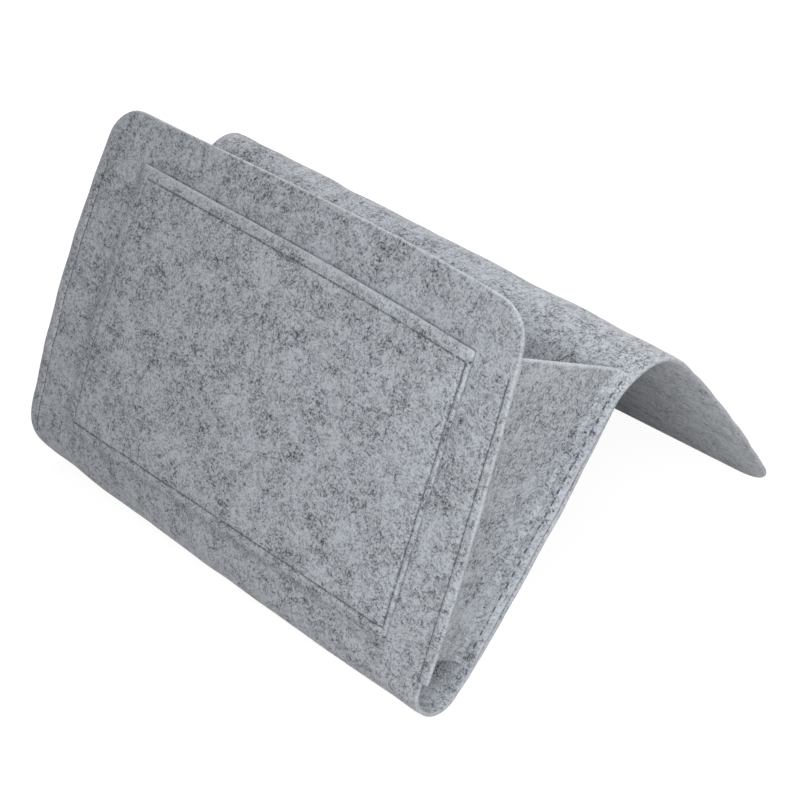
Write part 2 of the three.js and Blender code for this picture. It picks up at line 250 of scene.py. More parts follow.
class CaddyFelt(PropertyGroup):
    """Sizes and colours of the felt."""

    edge_round: FloatProperty(
        name="Edge rounding", description="How far a cut edge is rounded in from its outline",
        default=0.0008, unit="LENGTH")
    edge_press: FloatProperty(
        name="Edge pressing", description="How much each face is pressed in towards a cut edge",
        default=0.00035, unit="LENGTH")
    ripple: FloatProperty(
        name="Ripple", description="Height of the felt's gentle unevenness",
        default=0.00022, unit="LENGTH")
    sag: FloatProperty(
        name="Front sag", description="How far the front's top edge leans in between its ends",
        default=0.0045, unit="LENGTH")
    pale: FloatVectorProperty(
        name="Pale wool", description="Colour of the pale fibres", subtype="COLOR",
        size=3, min=0, max=1, default=(0.440, 0.468, 0.505))
    middle: FloatVectorProperty(
        name="Grey wool", description="Colour of most of the felt", subtype="COLOR",
        size=3, min=0, max=1, default=(0.312, 0.331, 0.360))
    dark: FloatVectorProperty(
        name="Dark wool", description="Colour of the dark fibres", subtype="COLOR",
        size=3, min=0, max=1, default=(0.045, 0.048, 0.056))


class CaddyThread(PropertyGroup):
    """Sizes and colour of the sewing thread."""

    pitch: FloatProperty(
        name="Stitch pitch", description="Distance from one stitch to the next",
        default=0.0036, unit="LENGTH")
    radius: FloatProperty(
        name="Thread radius", description="Radius of the thread",
        default=0.00029, unit="LENGTH")
    groove: FloatProperty(
        name="Seam groove", description="How far a seam pulls the felt in",
        default=0.00055, unit="LENGTH")
    colour: FloatVectorProperty(
        name="Thread", description="Colour of the sewing thread", subtype="COLOR",
        size=3, min=0, max=1, default=(0.060, 0.064, 0.072))


class CaddyStage(PropertyGroup):
    """Light and floor of the stage."""

    key: FloatProperty(
        name="Key lamp", description="Power of the lamp over the right side",
        default=3.3, unit="POWER")
    front: FloatProperty(
        name="Front lamp", description="Power of the lamp before the front",
        default=4.25, unit="POWER")
    top: FloatProperty(
        name="Top lamp", description="Power of the lamp overhead",
        default=15.5, unit="POWER")
    back: FloatProperty(
        name="Back lamp", description="Power of the lamp behind the flap",
        default=11.4, unit="POWER")
    sky: FloatProperty(
        name="Sky", description="Strength of the even light from all round", default=0.05)
    floor: FloatVectorProperty(
        name="Floor", description="Colour of the floor", subtype="COLOR",
        size=3, min=0, max=1, default=(0.62, 0.62, 0.62))


class CaddySettings(PropertyGroup):
    """All settings of the caddy."""

    felt: PointerProperty(type=CaddyFelt)
    thread: PointerProperty(type=CaddyThread)
    stage: PointerProperty(type=CaddyStage)


def settings():
    """The caddy's settings on the scene."""
    return bpy.context.scene.felt_caddy


def end_profile(front_lean, front_bow, back_lean, bottom_radius, ridge_radius, flap_slope, flap_curl,
                bottom_y):
    """One end of the sheet as lengths and curves, from lengths in metres and angles in degrees.

    From the bottom line the front runs round an arc and up a slightly bowed stretch. The back runs
    round the arc the other way, up a straight, over the ridge's arc and down the flap, which steepens by
    its curl either side of its slope. The straight of the back is as long as makes the flap's end meet
    the floor.
    """
    angles = (front_lean, back_lean, flap_slope, flap_curl)
    front, back, slope, steeper = (math.radians(angle) for angle in angles)
    turn = back + slope - steeper
    back_arc = bottom_radius * back
    ridge_arc = ridge_radius * turn
    rise = bottom_radius * (1 - math.cos(back))
    rise += ridge_radius * (math.cos(back - turn) - math.cos(back))
    rise += HALF_FELT * (1 - math.cos(slope + steeper))
    fall = math.sin(steeper) / steeper * math.sin(slope)
    back_straight = ((BACK_LENGTH - back_arc - ridge_arc) * fall - rise) / (math.sin(back) + fall)
    curl = 4 * front_bow / (FRONT_LENGTH - bottom_radius * (math.pi - front))
    front_arc = bottom_radius * (math.pi - front - curl)
    front_rise = FRONT_LENGTH - front_arc
    flap = BACK_LENGTH - back_arc - back_straight - ridge_arc

    def rows(y, z, across_y, across_z):
        """A profile's place and outward direction, side by side."""
        return np.stack(np.broadcast_arrays(y, z, across_y, across_z), -1)

    def bottom(angle):
        """The arc of the bottom fold: a circle that rests on the floor."""
        return rows(bottom_y + bottom_radius * np.sin(angle),
                    HALF_FELT + bottom_radius * (1 - np.cos(angle)), np.sin(angle), -np.cos(angle))

    def front_curve(share):
        """A long shallow arc whose heading turns evenly from lean plus curl to lean minus curl."""
        first = front + curl
        heading = first - 2 * curl * share
        reach = front_rise / (2 * curl)
        foot = bottom(first - math.pi)
        return rows(foot[0] + reach * (math.sin(first) - np.sin(heading)),
                    foot[1] + reach * (np.cos(heading) - math.cos(first)),
                    -np.sin(heading), np.cos(heading))

    def back_curve(share):
        """A straight up the back's lean."""
        foot = bottom(back)
        along = back_straight * share
        return rows(foot[0] + along * math.cos(back), foot[1] + along * math.sin(back),
                    foot[2], foot[3])

    def ridge_curve(share):
        """An arc that turns from the back's lean to the flap's slope."""
        foot = back_curve(np.float64(1))
        heading = back - turn * share
        return rows(foot[0] + ridge_radius * (foot[2] - np.sin(heading)),
                    foot[1] + ridge_radius * (foot[3] + np.cos(heading)),
                    np.sin(heading), -np.cos(heading))

    def flap_curve(share):
        """A long shallow arc whose heading turns evenly from slope less curl to slope plus curl."""
        foot = ridge_curve(np.float64(1))
        heading = back - turn - 2 * steeper * share
        reach = flap / (2 * steeper)
        return rows(foot[0] + reach * (foot[2] - np.sin(heading)),
                    foot[1] + reach * (foot[3] + np.cos(heading)),
                    np.sin(heading), -np.cos(heading))

    return {
        "front": ((front_arc, lambda s: bottom((front + curl - math.pi) * s)),
                  (front_rise, front_curve)),
        "back": ((back_arc, lambda s: bottom(back * s)), (back_straight, back_curve),
                 (ridge_arc, ridge_curve), (flap, flap_curve)),
    }


LEFT_END = end_profile(
    front_lean=64.3, front_bow=0.0063, back_lean=55.6, bottom_radius=0.026, ridge_radius=0.0180,
    flap_slope=54.9, flap_curl=0.3, bottom_y=-0.0014)
RIGHT_END = end_profile(
    front_lean=70.3, front_bow=0.0004, back_lean=49.6, bottom_radius=0.016, ridge_radius=0.0380,
    flap_slope=53.8, flap_curl=4.3, bottom_y=-0.0040)


def ease(share):
    """A step eased at both ends: 3 shares squared less 2 shares cubed, held between 0 and 1."""
    share = np.clip(share, 0, 1)
    return share**2 * (3 - 2 * share)


def eased(value, start, length):
    """A step eased from 0 at its start to 1 at a length past it."""
    return ease((value - start) / length)


def bell(distance, reach):
    """A bell curve: e to the power of less the square of the distance over the reach."""
    return np.exp(-((distance / reach) ** 2))


def ripple(x, along):
    """The felt's gentle unevenness: a sum of seeded plane waves, calm where the felt rests."""
    draw = np.random.default_rng(RIPPLE_SEED)
    count = RIPPLE_WAVES
    number = 2 * np.pi / draw.uniform(*RIPPLE_LENGTHS, count)
    way = draw.uniform(0, 2 * np.pi, count)
    phase = draw.uniform(0, 2 * np.pi, count)
    total = np.zeros(np.broadcast(x, along).shape)
    for k in range(count):
        total += np.sin(number[k] * (x * np.cos(way[k]) + along * np.sin(way[k])) + phase[k])
    lying = ease(np.abs(along) / RIPPLE_CALM) * ease((BACK_LENGTH - along) / RIPPLE_CALM)
    return settings().felt.ripple * lying * total / math.sqrt(count / 2)


def side_edges(along):
    """Left and right cut edges at a distance along the sheet.

    Up the front its right margin stands out past the bottom fold, most at half its height, by a parabola.
    Its left edge draws in to the bottom line by a power of the share of the corner's height. Past the
    bottom line the left edge eases out again, and the right edge eases out to the back's width and then
    to the whole sheet's. The left edge stands out a little at the ridge, and the flap narrows evenly on
    its right.
    """
    high = np.clip((-along - MARGIN_FOOT) / (FRONT_LENGTH - MARGIN_FOOT), 0, 1)
    cut_in = np.clip(1 + along / CORNER_HEIGHT, 0, 1) ** CORNER_POWER
    left = FRONT_LEFT + (BOTTOM_LEFT - FRONT_LEFT) * cut_in
    left = left - (HALF_WIDTH + BOTTOM_LEFT) * ease(along / LEFT_RETURN)
    ridge_start, ridge_stop = RIDGE_STRETCH
    left = left + ((RIDGE_LEFT + HALF_WIDTH) * eased(along, ridge_start, RIDGE_EASE)
                   * eased(-along, -ridge_stop, RIDGE_EASE))
    taper = np.clip((along - FLAP_TAPER) / (BACK_LENGTH - FLAP_TAPER), 0, 1)
    right = BOTTOM_RIGHT + (BACK_RIGHT - BOTTOM_RIGHT) * eased(along, *BACK_EASE)
    right = right + (HALF_WIDTH - BACK_RIGHT) * eased(along, *SHEET_EASE)
    right = right + (FLAP_RIGHT - HALF_WIDTH) * taper
    front_right = FRONT_RIGHT + (FRONT_RIGHT_TOP - FRONT_RIGHT) * high
    front_right = front_right + 4 * FRONT_RIGHT_BULGE * high * (1 - high)
    return left, np.where(along < -MARGIN_FOOT, front_right, right)


def front_seam(side, along):
    """Where a front seam runs across the sheet: straight up on the left, slanting out on the right."""
    slant = eased(-along, FRONT_SEAM_SPAN[0], SLANT_LENGTH) if side > 0 else 1.0
    return FRONT_SEAM[side] - FRONT_SEAM_SLANT * (1 - slant)


def felt_point(x, along, lift):
    """A point of the folded sheet.

    x is across the sheet. along is the distance from the bottom line, below nothing up the front and
    above nothing up the back. Each stretch of the left end's profile is matched with the same stretch of
    the right end's by its share, and the point is on the straight line between the two. lift moves it off
    the middle of the felt, outwards where it is above nothing. The bottom fold is pinched to a sharper
    line at its right end by a bell curve either side of it. By a bell curve before it, it swells between
    its ends and is tucked in at its left end. The front also leans in between its ends by a parabola that
    grows with the square of the height.
    """
    x, along, lift = np.broadcast_arrays(*(np.asarray(v, float) for v in (x, along, lift)))
    share = x / SHEET_WIDTH + 0.5
    left, right = (1 - share)[..., None], share[..., None]
    profile = np.zeros(x.shape + (4,))
    for run, distance in (("front", -along), ("back", along)):
        start = np.zeros(x.shape)
        for left_stretch, right_stretch in zip(LEFT_END[run], RIGHT_END[run]):
            length = left_stretch[0] * (1 - share) + right_stretch[0] * share
            part = (distance - start) / length
            mixed = left_stretch[1](part) * left + right_stretch[1](part) * right
            profile = np.where((distance >= start)[..., None], mixed, profile)
            start = start + length
    outward = profile[..., 2:] / np.linalg.norm(profile[..., 2:], axis=-1, keepdims=True)
    bend = x / HALF_WIDTH
    arch = np.clip(1 - bend**2, 0, None)
    pinch_middle, pinch_reach = PINCH_BELL
    pinch = FOLD_PINCH * bell(np.abs(along) - pinch_middle, pinch_reach) * eased(x, *PINCH_EASE)
    swell_middle, swell_reach = SWELL_BELL
    swell = FOLD_SAG * arch**2 - FOLD_TUCK * eased(-x, *TUCK_EASE)
    swell = swell * bell(along - swell_middle, swell_reach)
    flat = profile[..., :2] + outward * (lift + ripple(x, along) - pinch + swell)[..., None]
    height = np.clip(-along / FRONT_LENGTH, 0, None)
    sag = settings().felt.sag * arch * (1 + SAG_SKEW * bend) * height**2
    return np.stack((x, flat[..., 0] - CENTRE_Y + sag, flat[..., 1]), -1)


def steps(low, high, step, lines=(), close=0.0005, reach=4):
    """Places from low to high in even steps, with a close ladder of places about each line."""
    even = np.linspace(low, high, max(2, int(round((high - low) / step)) + 1))
    if not len(lines):
        return even
    ladder = np.asarray(lines)[:, None] + close * np.arange(-reach, reach + 1)
    ladder = np.unique(np.round(ladder, 7))
    ladder = ladder[(ladder > low + close) & (ladder < high - close)]
    clear = np.abs(even[:, None] - ladder).min(1) > close
    clear[[0, -1]] = True
    return np.sort(np.concatenate((even[clear], ladder)))


def groove(distance, window):
    """Depth of a seam's groove: a bell curve about the seam line, inside its window."""
    return -settings().thread.groove * bell(distance, GROOVE_REACH) * window


def painted_seam_line(distance, window):
    """How far a point lies in the painted shade along a seam: a narrow bell curve about it, inside its
    window.
    """
    return bell(distance, SEAM_LINE_REACH) * window


def inside(value, low, high, reach=0.002):
    """1 between low and high, falling to 0 outside them."""
    return np.clip((value - low) / reach + 1, 0, 1) * np.clip((high - value) / reach + 1, 0, 1)


def unit(vectors):
    """Vectors of length 1."""
    return vectors / np.maximum(np.linalg.norm(vectors, axis=-1, keepdims=True), 1e-12)


def facing(points, quads, wanted):
    """The quads, turned over where together they face away from the wanted directions."""
    corner = points[quads]
    normal = np.cross(corner[:, 2] - corner[:, 0], corner[:, 3] - corner[:, 1])
    return quads if (normal * wanted).sum() > 0 else quads[:, ::-1]


def slab(middle, outward, flat, relief=(0.0, 0.0), sewn=0.0, frayed=1.0, parted=False):
    """A closed slab of felt round a grid of middle points.

    The two faces stand half the felt off the middle along the outward directions, plus their relief. The
    grid stops short of the cut outline by the edge rounding, and four rings carry the surface round the
    cut edge between the two faces. sewn is how much painted shade a point of the outer face takes along
    seams and sewn edges, and frayed is how much lint a cut edge shows. Where parted, the first row is a
    plain cap without rounding, for another piece to meet. Returns points, faces, end faces, places in the
    flat wool, and how far each point is cut and how much painted shade it takes.
    """
    edge = settings().felt.edge_round
    rows, columns = middle.shape[:2]
    level = np.zeros((rows, columns))
    outer = middle + outward * (HALF_FELT + relief[0] + level)[..., None]
    inner = middle - outward * (HALF_FELT + relief[1] + level)[..., None]
    index = np.arange(rows * columns).reshape(rows, columns)
    loop = np.concatenate((index[:, 0], index[-1, 1:], index[-2::-1, -1]))
    if not parted:
        loop = np.concatenate((loop, index[0, -2:0:-1]))
    border = middle.reshape(-1, 3)[loop]
    side = outward.reshape(-1, 3)[loop]
    if parted:
        tangent = np.gradient(border, axis=0)
    else:
        tangent = np.roll(border, -1, 0) - np.roll(border, 1, 0)
    out = unit(np.cross(tangent, side))
    into = middle[:, 1] - middle[:, 0]
    if (out[:rows] * into).sum() > 0:
        out = -out
    upper, lower = outer.reshape(-1, 3)[loop], inner.reshape(-1, 3)[loop]
    rings = np.stack([(upper + lower) / 2 + edge * share * out + height * (upper - lower) / 2
                      for share, height in CUT_RIM])
    points = np.concatenate((outer.reshape(-1, 3), inner.reshape(-1, 3), rings.reshape(-1, 3)))

    quad = np.stack((index[:-1, :-1], index[:-1, 1:], index[1:, 1:], index[1:, :-1]), -1)
    quad = quad.reshape(-1, 4)
    face_out = outward[:-1, :-1].reshape(-1, 3)
    faces = [facing(points, quad, face_out), facing(points, quad + rows * columns, -face_out)]
    ring_at = 2 * rows * columns + np.arange(len(CUT_RIM) * len(loop)).reshape(len(CUT_RIM), -1)
    belt = np.concatenate((loop[None], ring_at, loop[None] + rows * columns))
    after = belt[:, 1:] if parted else np.roll(belt, -1, 1)
    before = belt[:, :-1] if parted else belt
    rim = np.stack((before[:-1], after[:-1], after[1:], before[1:]), -1).reshape(-1, 4)
    rim_out = np.tile(out[: before.shape[1]], (len(belt) - 1, 1))
    faces.append(facing(points, rim, rim_out))
    ends = []
    if parted:
        first = index[0]
        under = first + rows * columns
        cap = np.stack((first[:-1], first[1:], under[1:], under[:-1]), -1)
        cap_out = np.tile((middle[0] - middle[1]).mean(0), (len(cap), 1))
        cap = facing(points, cap, cap_out)
        faces.append(cap)
        first_end, last_end = belt[:, 0].tolist(), belt[:, -1].tolist()
        if cap[0, 0] == first[0]:
            last_end.reverse()
        else:
            first_end.reverse()
        ends = [first_end, last_end]
    place = np.concatenate((flat, np.full((rows, columns, 1), HALF_FELT)), -1).reshape(-1, 3)
    below = place * (1, 1, -1)
    heights = np.array([height for _, height in CUT_RIM])
    ring_place = np.tile(place[loop], (len(CUT_RIM), 1))
    ring_place[:, 2] = np.repeat(heights * HALF_FELT, len(loop))
    cut = np.zeros(len(points))
    lint = (frayed + level).reshape(-1)[loop]
    cut[belt[1:-1].ravel()] = np.tile(lint, len(CUT_RIM))
    cut[belt[[0, -1]].ravel()] = FACE_LINT * np.tile(lint, 2)
    if parted:
        cut[index[0, 1:-1]] = 0.0
    # Painted shade along seams and the patch's edges, on the outer face only.
    seam = np.zeros(len(points))
    seam[: rows * columns] = (sewn + level).ravel()
    places = np.concatenate((place, below, ring_place))
    return points, [group.tolist() for group in faces], ends, places, (cut, seam)


def new_piece(name, points, faces, material, places, values=(), sharp=math.radians(60)):
    """A mesh object at the origin from its points and faces, with its named attributes."""
    mesh = bpy.data.meshes.new(name)
    mesh.from_pydata(points.tolist(), [], faces)
    mesh.polygons.foreach_set("use_smooth", np.ones(len(mesh.polygons), bool))
    mesh.set_sharp_from_angle(angle=sharp)
    at = mesh.attributes.new("felt_at", "FLOAT_VECTOR", "POINT")
    at.data.foreach_set("vector", places.astype(np.float32).ravel())
    for key, value in zip(("cut_edge", "sewn_line"), values):
        own = mesh.attributes.new(key, "FLOAT", "POINT")
        own.data.foreach_set("value", value.astype(np.float32))
    mesh.materials.append(material)
    mesh.update()
    piece = bpy.data.objects.new(name, mesh)
    bpy.context.scene.collection.objects.link(piece)
    return piece


def felt_piece(name, made):
    """A felt piece from a slab, whose pattern starts at its own place in the wool."""
    points, faces, ends, places, values = made
    every = [face for group in faces for face in group] + ends
    piece = new_piece(name, points, every, felt_material(), places + WOOL_PLACE[name], values)
    return piece


def put(tree, kind, inputs=None, **fields):
    """A node with its fields set and its inputs set or linked."""
    made = tree.nodes.new(kind)
    for field, value in fields.items():
        setattr(made, field, value)
    for key, value in (inputs or {}).items():
        if isinstance(value, bpy.types.NodeSocket):
            tree.links.new(value, made.inputs[key])
        else:
            made.inputs[key].default_value = value
    return made


def calc(tree, operation, first, second=None, third=None, clamp=False):
    """The output of a Math node."""
    given = {k: v for k, v in enumerate((first, second, third)) if v is not None}
    return put(tree, "ShaderNodeMath", given, operation=operation, use_clamp=clamp).outputs[0]


def vector(tree, operation, inputs):
    """The output of a Vector Math node."""
    return put(tree, "ShaderNodeVectorMath", inputs, operation=operation).outputs[0]


def tint(tree, factor, first, second):
    """The output of a Mix node that goes from the first colour to the second."""
    made = put(tree, "ShaderNodeMix", {"Factor": factor, "A": first, "B": second},
               data_type="RGBA", blend_type="MIX")
    return made.outputs[2]


def own_value(tree, name):
    """The number that a piece's points carry under a name."""
    return put(tree, "ShaderNodeAttribute", attribute_name=name).outputs["Fac"]


def flat_place(tree):
    """A point's own place in the flat wool or along the thread, in millimetres."""
    at = put(tree, "ShaderNodeAttribute", attribute_name="felt_at").outputs["Vector"]
    return vector(tree, "SCALE", {0: at, "Scale": 1000.0})


def bare_tree(owner):
    """The emptied node tree of a material or a sky."""
    owner.use_nodes = True
    owner.node_tree.nodes.clear()
    return owner.node_tree


def span(tree, value, low, high, to_low=0.0, to_high=1.0):
    """A value eased from one range to another."""
    made = put(tree, "ShaderNodeMapRange", {
        "Value": value, "From Min": low, "From Max": high, "To Min": to_low, "To Max": to_high,
    }, interpolation_type="SMOOTHSTEP")
    return made.outputs["Result"]


def noise(tree, at, scale, detail=0.0, rough=0.5):
    """The grey output of a Noise node."""
    made = put(tree, "ShaderNodeTexNoise", {
        "Vector": at, "Scale": scale, "Detail": detail, "Roughness": rough})
    return made.outputs["Fac"]


def fibres(tree, at, kinds, low, high):
    """Short fibres: noises drawn out along a direction each, of which only the peaks are kept."""
    most = None
    for turn, length, width in kinds:
        drawn = put(tree, "ShaderNodeMapping", {
            "Vector": at, "Rotation": (0.0, 0.0, math.radians(turn)), "Scale": (length, width, width),
        }, vector_type="TEXTURE").outputs["Vector"]
        peaks = span(tree, noise(tree, drawn, 1.0, 1.0, 0.5), low, high)
        most = peaks if most is None else calc(tree, "MAXIMUM", most, peaks)
    return most


def felt_material():
    """Needled felt: grey wool with clouds, specks and short curved fibres, paler where it is cut, and
    darker with painted shade along seams and the patch's sewn edges.

    The pattern is worked out in millimetres of the flat sheet, from the piece's own felt_at attribute.
    """
    made = bpy.data.materials.get("grey_felt")
    if made:
        return made
    look = settings().felt
    made = bpy.data.materials.new("grey_felt")
    tree = bare_tree(made)
    flat = flat_place(tree)
    swirl = put(tree, "ShaderNodeTexNoise", {"Vector": flat, "Scale": 0.16, "Detail": 1.0})
    centred = vector(tree, "SUBTRACT", {0: swirl.outputs["Color"], 1: (0.5, 0.5, 0.5)})
    drift = vector(tree, "SCALE", {0: centred, "Scale": 7.0})
    curved = vector(tree, "ADD", {0: flat, 1: drift})

    cloud = noise(tree, flat, 0.045, 4.0, 0.85)
    speck = noise(tree, curved, 0.34, 2.0, 0.8)
    grain = noise(tree, flat, 0.80, 2.0, 0.8)
    dense = span(tree, cloud, 0.36, 0.66, 0.35, 1.0)
    darker = fibres(tree, curved, DARK_FIBRES, 0.54, 0.72)
    paler = fibres(tree, curved, PALE_FIBRES, 0.55, 0.74)

    shade = calc(tree, "MULTIPLY_ADD", cloud, CLOUD_SHADE, -CLOUD_SHADE / 2)
    for part, weight in (
            (span(tree, speck, 0.25, 0.75, -0.5, 0.5), SPECK_SHADE),
            (span(tree, grain, 0.25, 0.75, -0.5, 0.5), GRAIN_SHADE),
            (calc(tree, "MULTIPLY", darker, dense), DARK_SHADE),
            (paler, PALE_SHADE)):
        shade = calc(tree, "MULTIPLY_ADD", part, weight, shade)
    shade = calc(tree, "ADD", shade, BASE_SHADE, clamp=True)

    ramp = put(tree, "ShaderNodeValToRGB", {"Fac": shade})
    wool = ramp.color_ramp
    wool.interpolation = "LINEAR"
    wool.elements[0].position = 0.0
    wool.elements[0].color = (*look.pale, 1.0)
    wool.elements[1].position = 1.0
    wool.elements[1].color = (*look.dark, 1.0)
    middle = wool.elements.new(MIDDLE_SHADE)
    middle.color = (*look.middle, 1.0)

    lint = calc(tree, "MULTIPLY", own_value(tree, "cut_edge"), span(tree, grain, 0.3, 0.7, 0.75, 0.30))
    frayed = tint(tree, lint, ramp.outputs["Color"], (*look.pale, 1.0))
    # Painted shade: the colour goes towards the dark wool along seams and the patch's edges, broken up by
    # the specks.
    painted_shade = calc(tree, "MULTIPLY", own_value(tree, "sewn_line"),
                    span(tree, speck, 0.3, 0.7, 0.35, 0.80))
    colour_out = tint(tree, painted_shade, frayed, (*look.dark, 1.0))

    fluff = calc(tree, "MULTIPLY_ADD", darker, -0.5, grain)
    fluff = calc(tree, "MULTIPLY_ADD", paler, 0.5, fluff)
    fluff = calc(tree, "MULTIPLY_ADD", speck, 0.8, fluff)
    bump = put(tree, "ShaderNodeBump", {"Height": fluff, "Strength": 0.5, "Distance": 0.00045})
    finish = put(tree, "ShaderNodeBsdfPrincipled", {
        "Base Color": colour_out,
        "Roughness": span(tree, speck, 0.3, 0.7, 0.88, 0.98),
        "Specular IOR Level": 0.18,
        "Sheen Weight": 0.35,
        "Sheen Roughness": 0.45,
        "Normal": bump.outputs["Normal"],
    })
    end = put(tree, "ShaderNodeOutputMaterial", {"Surface": finish.outputs["BSDF"]})
    end.is_active_output = True
    return made


def thread_material():
    """Dark sewing thread whose two plies are slanted bands along each stitch."""
    made = bpy.data.materials.get("sewing_thread")
    if made:
        return made
    look = settings().thread
    made = bpy.data.materials.new("sewing_thread")
    tree = bare_tree(made)
    flat = flat_place(tree)
    plies = put(tree, "ShaderNodeTexWave", {
        "Vector": flat, "Scale": 0.55, "Distortion": 0.6, "Detail": 1.0,
    }, bands_direction="DIAGONAL").outputs["Fac"]
    lint = noise(tree, flat, 2.2, 2.0, 0.6)
    light = tuple(min(1.0, 1.7 * c) for c in look.colour)
    shown = calc(tree, "MULTIPLY", plies, lint)
    bump = put(tree, "ShaderNodeBump", {"Height": plies, "Strength": 0.6, "Distance": 0.0001})
    finish = put(tree, "ShaderNodeBsdfPrincipled", {
        "Base Color": tint(tree, shown, (*look.colour, 1.0), (*light, 1.0)),
        "Roughness": span(tree, lint, 0.3, 0.7, 0.6, 0.8),
        "Specular IOR Level": 0.3,
        "Sheen Weight": 0.15,
        "Normal": bump.outputs["Normal"],
    })
    put(tree, "ShaderNodeOutputMaterial", {"Surface": finish.outputs["BSDF"]})
    return made


def sheet_grid(ends, corner, step):
    """Rows and columns of a length of the long sheet that runs to one of its cut ends.

    The rows go from the parting line to the cut end, and the columns share out the width between the two
    cut edges. Over the last rows both edges follow the rounded corner's circle, inside the edge rounding.
    Gives x, the distance along the sheet and the distance in from the nearest cut edge.
    """
    edge = settings().felt.edge_round
    start, stop = ends
    radius = corner - edge
    length = abs(stop - start)
    turn = np.linspace(math.pi / 2, 0, CORNER_ROWS)[1:]
    straight = np.concatenate([steps(low, high, gap)[:-1] for low, high, gap in step])
    rounded = length - edge - radius * (1 - np.cos(turn))
    rows = np.concatenate((straight, [length - corner], rounded))
    inset = edge + np.concatenate((np.zeros(len(straight) + 1), radius * (1 - np.sin(turn))))
    along = start + np.sign(stop - start) * rows
    left, right = side_edges(along)
    left, right = (left + inset)[:, None], (right - inset)[:, None]
    middle = (FRONT_LEFT + FRONT_RIGHT) / 2
    half = (FRONT_RIGHT - FRONT_LEFT) / 2 - edge
    lines = np.array((FRONT_SEAM[-1], FRONT_SEAM[1], FRONT_SEAM[1] + SEAM_LADDER)) - middle
    across = steps(-half, half, COLUMN_STEP, lines, close=0.0004, reach=6) / half
    x = (left + right) / 2 + (right - left) / 2 * across
    along = np.broadcast_to(along[:, None], x.shape)
    near = np.minimum(np.minimum(x - left, right - x), np.abs(along - stop))
    return x, along, near


def pressed(near):
    """How far a face is pressed in near a cut edge: the whole edge pressing there, easing to none."""
    return settings().felt.edge_press * (1 - ease(near / EDGE_REACH))


def sheet_piece(name, ends, corner, step):
    """A length of the long sheet, with the grooves that the side seams pull into its outer face."""
    x, along, near = sheet_grid(ends, corner, step)
    middle = felt_point(x, along, 0.0)
    outward = unit(felt_point(x, along, PROBE) - middle)
    front_line = x - np.where(x < 0, front_seam(-1, along), front_seam(1, along))
    front_span = inside(-along, *FRONT_SEAM_SPAN)
    back_line = np.where(x < 0, x - BACK_SEAM[-1], x - BACK_SEAM[1])
    low, high = GUSSET_BACK
    back_span = inside(along, low + SEAM_END_MARGIN, high - SEAM_END_MARGIN)
    pull = groove(front_line, front_span) + groove(back_line, back_span)
    # Painted shade along the front seams, fainter on the left.
    sewn = painted_seam_line(front_line, front_span) * np.where(x < 0, FAINT_SEAM, 1.0)
    made = slab(middle, outward, np.stack((x, along), -1), (pull - pressed(near), -pressed(near)), sewn,
                parted=True)
    return felt_piece(name, made)


def patch_place(across, up):
    """Where a point of the patch lies on the front, as x and distance along the sheet."""
    level, tilt = math.cos(PATCH_TURN), math.sin(PATCH_TURN)
    height = FRONT_LENGTH - PATCH_TOP_DROP + up * level - across * tilt
    return PATCH_SIDE_SHIFT + across * level + up * tilt, -height


def patch_sewn_side(across, up):
    """Distance in from the nearest of the patch's three sewn sides."""
    return np.minimum(PATCH_WIDTH / 2 - np.abs(across), up + PATCH_HEIGHT)


def patch_lift(across, up):
    """Height of the patch's middle over the sheet's: low at its sewn sides, easing up to the slack."""
    slack = ease(patch_sewn_side(across, up) / PATCH_EASE)
    return PATCH_SEWN_LIFT + (PATCH_MID_LIFT - PATCH_SEWN_LIFT) * slack


def patch_seams(across, up):
    """Distance from each seam line of the patch, with its window: two sides, the foot and the hem."""
    left, right = PATCH_SEAM
    level = inside(across, left, right, 0.001)
    side = np.where(across < 0, left - across, across - right)
    drawn = np.where(across < 0, FAINT_SEAM, 1.0)
    upright = drawn * inside(up, PATCH_FOOT_SEAM, -HEM_DROP, 0.001)
    return (side, upright), (up - PATCH_FOOT_SEAM, level), (up + HEM_DROP, level)


def patch_press(across, up):
    """How far the patch's outer face is pressed in, near its three sewn sides and its open top."""
    near = patch_sewn_side(across, up)
    return PATCH_PRESS * (1 - ease(near / PATCH_PRESS_REACH)) + pressed(-up)


def gusset_middle(side, section, rise):
    """Middle surface of a gusset, with the sheet's allowances and a web between them.

    section runs from 0 at the front allowance's edge to 1 at its crease, 2 at the back crease and 3 at
    the back allowance's edge. rise runs from the foot to the top. The allowances lie on the inner face of
    front and back, and the web is on straight lines from crease to crease, bowed in by a sine each way.
    """
    section, rise = np.broadcast_arrays(section, rise)
    front = GUSSET_FRONT[0] + (GUSSET_FRONT[1] - GUSSET_FRONT[0]) * rise
    back = GUSSET_BACK[0] + (GUSSET_BACK[1] - GUSSET_BACK[0]) * rise
    to_edge = np.clip(1 - section, 0, 1)
    crease = GUSSET_CREASE[side]
    front_flat = felt_point(crease + (GUSSET_EDGE[side] - crease) * to_edge,
                            -(front - ALLOWANCE_TAIL * to_edge * (1 - rise)), GUSSET_LIFT)
    to_back = np.clip(section - 2, 0, 1)
    back_flat = felt_point(side * (BACK_INNER + BACK_ALLOWANCE[side] * to_back), back, GUSSET_LIFT)
    across = np.clip(section - 1, 0, 1)
    bow = WEB_BOW * np.sin(np.pi * across) * np.sin(np.pi * rise)
    x = crease * (1 - across) + side * BACK_INNER * across - side * bow
    share = across[..., None]
    web = felt_point(x, -front, GUSSET_LIFT) * (1 - share) + felt_point(x, back, GUSSET_LIFT) * share
    lower = np.where((section < 1)[..., None], front_flat, web)
    return np.where((section > 2)[..., None], back_flat, lower)


